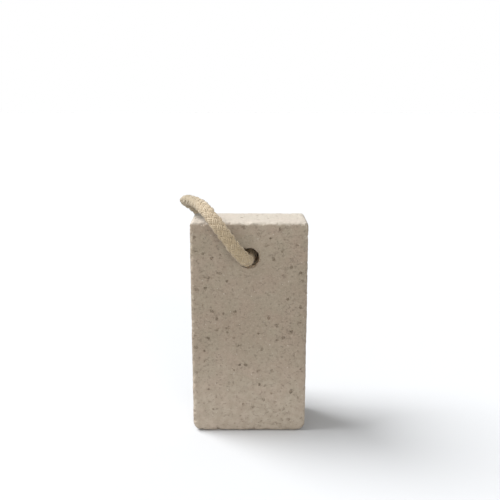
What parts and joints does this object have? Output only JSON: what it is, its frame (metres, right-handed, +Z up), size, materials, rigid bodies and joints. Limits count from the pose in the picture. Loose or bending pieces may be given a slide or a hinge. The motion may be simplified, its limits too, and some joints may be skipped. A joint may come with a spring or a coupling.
{
  "type": "pumice stone",
  "caption": "Sawn rectangular bar of pumice for skin care, pitted all over, with a drilled hole near its upper end and a knotted loop of braided cotton cord through it.",
  "frame": {"origin": "middle of the bar's lower end, which it stands on", "axes": "+Z up along the bar's length, +Y through its thickness towards the back, +X along its width, to the right as seen from the front"},
  "size_m": [0.0563, 0.0496, 0.1044],
  "materials": {
    "stone": "dry, matt, grey-beige pumice with fine darker pits",
    "cord": "soft braided undyed cotton, matt and slightly fuzzy"
  },
  "bodies": {
    "root": {"stone": "stone", "cord": "cord", "knot": "cord"}
  },
  "joints": []
}
